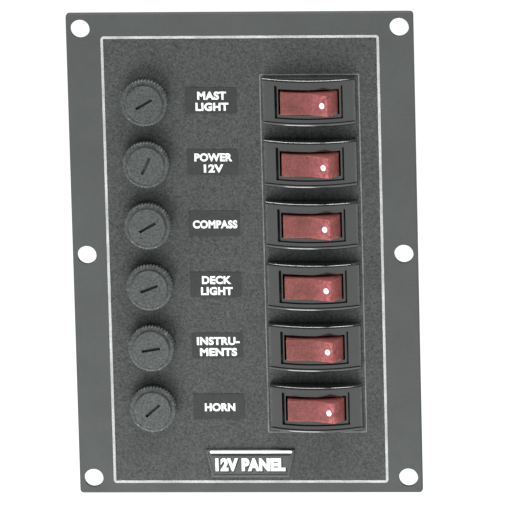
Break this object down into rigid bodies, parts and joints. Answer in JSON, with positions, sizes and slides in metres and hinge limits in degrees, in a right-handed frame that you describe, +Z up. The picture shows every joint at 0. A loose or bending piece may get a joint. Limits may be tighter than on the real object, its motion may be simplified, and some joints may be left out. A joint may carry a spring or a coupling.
{
  "type": "fused switch panel with cartridge fuse holders",
  "caption": "Upright switch panel with a column of bayonet cartridge fuse holders beside lit red rocker switches, wired together behind a drilled flat plate.",
  "frame": {"origin": "centre of the plate's back face, which is also the centre of the four corner holes", "axes": "+X to the right seen from the front, +Y out of the plate's back towards the wiring, +Z up the plate's long side"},
  "size_m": [0.115, 0.0511, 0.165],
  "materials": {
    "panel": "charcoal grey, fine grained field and smoother rim",
    "badge": "dark grey moulded plate",
    "label": "dark grey printed sticker, satin",
    "phenolic": "black moulded phenolic",
    "phenolic_nut": "black moulded nut",
    "rubber": "black rubber washer",
    "brass": "plain stamped brass",
    "spring_steel": "plated spring wire",
    "switch_black": "dark grey moulded nylon, satin",
    "lamp_glass": "small clear lamp",
    "rivet": "plated rivet",
    "plated_screw": "nickel plated steel",
    "wire_red": "red PVC insulation",
    "wire_black": "black PVC insulation",
    "sleeve": "blue translucent receptacle sleeve",
    "rocker_red": "translucent red, lightly grained",
    "plunger_white": "natural white acetal",
    "cap": "charcoal grey moulded cap",
    "clip_plated": "plated brass clip",
    "fuse_glass": "clear fuse tube",
    "fuse_metal": "nickel plated fuse ends",
    "print_white": "white screen print",
    "dot_white": "small white lens dot",
    "print_line": "pale grey screen print",
    "print_black": "black screen print",
    "print_grey": "fine grey screen print"
  },
  "bodies": {
    "panel": {"face_plate": "panel", "nameplate": "badge", "circuit_labels": "label", "fuse_bodies": "phenolic", "fuse_gaskets": "rubber", "fuse_nuts": "phenolic_nut", "side_terminals": "brass", "end_terminals": "brass", "contact_springs": "spring_steel", "switch_housings": "switch_black", "switch_terminals": "brass", "indicator_lamps": "lamp_glass", "bus_bar": "brass", "bus_rivets": "rivet", "feed_screw": "plated_screw", "link_wires": "wire_red", "wire_sleeves": "sleeve", "ground_jumpers": "wire_black"},
    "rocker_body_1": {"rocker_1": "rocker_red", "plunger_1": "plunger_white"},
    "lever_body_1": {"contact_lever_1": "brass"},
    "fuse_1": {"fuse_glass_1": "fuse_glass", "fuse_end_caps_1": "fuse_metal"},
    "cap_1": {"fuse_cap_1": "cap", "fuse_clip_1": "clip_plated"},
    "rocker_body_2": {"rocker_2": "rocker_red", "plunger_2": "plunger_white"},
    "lever_body_2": {"contact_lever_2": "brass"},
    "fuse_2": {"fuse_glass_2": "fuse_glass", "fuse_end_caps_2": "fuse_metal"},
    "cap_2": {"fuse_cap_2": "cap", "fuse_clip_2": "clip_plated"},
    "rocker_body_3": {"rocker_3": "rocker_red", "plunger_3": "plunger_white"},
    "lever_body_3": {"contact_lever_3": "brass"},
    "fuse_3": {"fuse_glass_3": "fuse_glass", "fuse_end_caps_3": "fuse_metal"},
    "cap_3": {"fuse_cap_3": "cap", "fuse_clip_3": "clip_plated"},
    "rocker_body_4": {"rocker_4": "rocker_red", "plunger_4": "plunger_white"},
    "lever_body_4": {"contact_lever_4": "brass"},
    "fuse_4": {"fuse_glass_4": "fuse_glass", "fuse_end_caps_4": "fuse_metal"},
    "cap_4": {"fuse_cap_4": "cap", "fuse_clip_4": "clip_plated"},
    "rocker_body_5": {"rocker_5": "rocker_red", "plunger_5": "plunger_white"},
    "lever_body_5": {"contact_lever_5": "brass"},
    "fuse_5": {"fuse_glass_5": "fuse_glass", "fuse_end_caps_5": "fuse_metal"},
    "cap_5": {"fuse_cap_5": "cap", "fuse_clip_5": "clip_plated"},
    "rocker_body_6": {"rocker_6": "rocker_red", "plunger_6": "plunger_white"},
    "lever_body_6": {"contact_lever_6": "brass"},
    "fuse_6": {"fuse_glass_6": "fuse_glass", "fuse_end_caps_6": "fuse_metal"},
    "cap_6": {"fuse_cap_6": "cap", "fuse_clip_6": "clip_plated"}
  },
  "joints": [
    {"name": "rocker_1_hinge", "type": "hinge", "parent": "panel", "child": "rocker_body_1", "pos_m": [0.0226, -0.004, 0.05292], "axis": [0, 0, 1], "range_deg": [0, 25]},
    {"name": "lever_1_hinge", "type": "hinge", "parent": "panel", "child": "lever_body_1", "pos_m": [0.0226, 0.0119, 0.05292], "axis": [0, 0, 1], "range_deg": [-16.2, 0.2]},
    {"name": "fuse_1_slide", "type": "slide", "parent": "panel", "child": "fuse_1", "axis": [0, -1, 0], "range_m": [0, 0.04]},
    {"name": "cap_1_turn", "type": "hinge", "parent": "fuse_1", "child": "cap_1", "pos_m": [-0.0318, 0, 0.05292], "axis": [0, -1, 0], "range_deg": [0, 60]},
    {"name": "rocker_2_hinge", "type": "hinge", "parent": "panel", "child": "rocker_body_2", "pos_m": [0.0226, -0.004, 0.03188], "axis": [0, 0, 1], "range_deg": [0, 25]},
    {"name": "lever_2_hinge", "type": "hinge", "parent": "panel", "child": "lever_body_2", "pos_m": [0.0226, 0.0119, 0.03188], "axis": [0, 0, 1], "range_deg": [-16.2, 0.2]},
    {"name": "fuse_2_slide", "type": "slide", "parent": "panel", "child": "fuse_2", "axis": [0, -1, 0], "range_m": [0, 0.04]},
    {"name": "cap_2_turn", "type": "hinge", "parent": "fuse_2", "child": "cap_2", "pos_m": [-0.0318, 0, 0.03188], "axis": [0, -1, 0], "range_deg": [0, 60]},
    {"name": "rocker_3_hinge", "type": "hinge", "parent": "panel", "child": "rocker_body_3", "pos_m": [0.0226, -0.004, 0.01082], "axis": [0, 0, 1], "range_deg": [0, 25]},
    {"name": "lever_3_hinge", "type": "hinge", "parent": "panel", "child": "lever_body_3", "pos_m": [0.0226, 0.0119, 0.01082], "axis": [0, 0, 1], "range_deg": [-16.2, 0.2]},
    {"name": "fuse_3_slide", "type": "slide", "parent": "panel", "child": "fuse_3", "axis": [0, -1, 0], "range_m": [0, 0.04]},
    {"name": "cap_3_turn", "type": "hinge", "parent": "fuse_3", "child": "cap_3", "pos_m": [-0.0318, 0, 0.01082], "axis": [0, -1, 0], "range_deg": [0, 60]},
    {"name": "rocker_4_hinge", "type": "hinge", "parent": "panel", "child": "rocker_body_4", "pos_m": [0.0226, -0.004, -0.01022], "axis": [0, 0, 1], "range_deg": [0, 25]},
    {"name": "lever_4_hinge", "type": "hinge", "parent": "panel", "child": "lever_body_4", "pos_m": [0.0226, 0.0119, -0.01022], "axis": [0, 0, 1], "range_deg": [-16.2, 0.2]},
    {"name": "fuse_4_slide", "type": "slide", "parent": "panel", "child": "fuse_4", "axis": [0, -1, 0], "range_m": [0, 0.04]},
    {"name": "cap_4_turn", "type": "hinge", "parent": "fuse_4", "child": "cap_4", "pos_m": [-0.0318, 0, -0.01022], "axis": [0, -1, 0], "range_deg": [0, 60]},
    {"name": "rocker_5_hinge", "type": "hinge", "parent": "panel", "child": "rocker_body_5", "pos_m": [0.0226, -0.004, -0.03127], "axis": [0, 0, 1], "range_deg": [0, 25]},
    {"name": "lever_5_hinge", "type": "hinge", "parent": "panel", "child": "lever_body_5", "pos_m": [0.0226, 0.0119, -0.03127], "axis": [0, 0, 1], "range_deg": [-16.2, 0.2]},
    {"name": "fuse_5_slide", "type": "slide", "parent": "panel", "child": "fuse_5", "axis": [0, -1, 0], "range_m": [0, 0.04]},
    {"name": "cap_5_turn", "type": "hinge", "parent": "fuse_5", "child": "cap_5", "pos_m": [-0.0318, 0, -0.03127], "axis": [0, -1, 0], "range_deg": [0, 60]},
    {"name": "rocker_6_hinge", "type": "hinge", "parent": "panel", "child": "rocker_body_6", "pos_m": [0.0226, -0.004, -0.05233], "axis": [0, 0, 1], "range_deg": [0, 25]},
    {"name": "lever_6_hinge", "type": "hinge", "parent": "panel", "child": "lever_body_6", "pos_m": [0.0226, 0.0119, -0.05233], "axis": [0, 0, 1], "range_deg": [-16.2, 0.2]},
    {"name": "fuse_6_slide", "type": "slide", "parent": "panel", "child": "fuse_6", "axis": [0, -1, 0], "range_m": [0, 0.04]},
    {"name": "cap_6_turn", "type": "hinge", "parent": "fuse_6", "child": "cap_6", "pos_m": [-0.0318, 0, -0.05233], "axis": [0, -1, 0], "range_deg": [0, 60]}
  ],
  "couplings": [
    {"joint": "lever_1_hinge", "follows": "rocker_1_hinge", "ratio": -0.64},
    {"joint": "lever_2_hinge", "follows": "rocker_2_hinge", "ratio": -0.64},
    {"joint": "lever_3_hinge", "follows": "rocker_3_hinge", "ratio": -0.64},
    {"joint": "lever_4_hinge", "follows": "rocker_4_hinge", "ratio": -0.64},
    {"joint": "lever_5_hinge", "follows": "rocker_5_hinge", "ratio": -0.64},
    {"joint": "lever_6_hinge", "follows": "rocker_6_hinge", "ratio": -0.64}
  ]
}
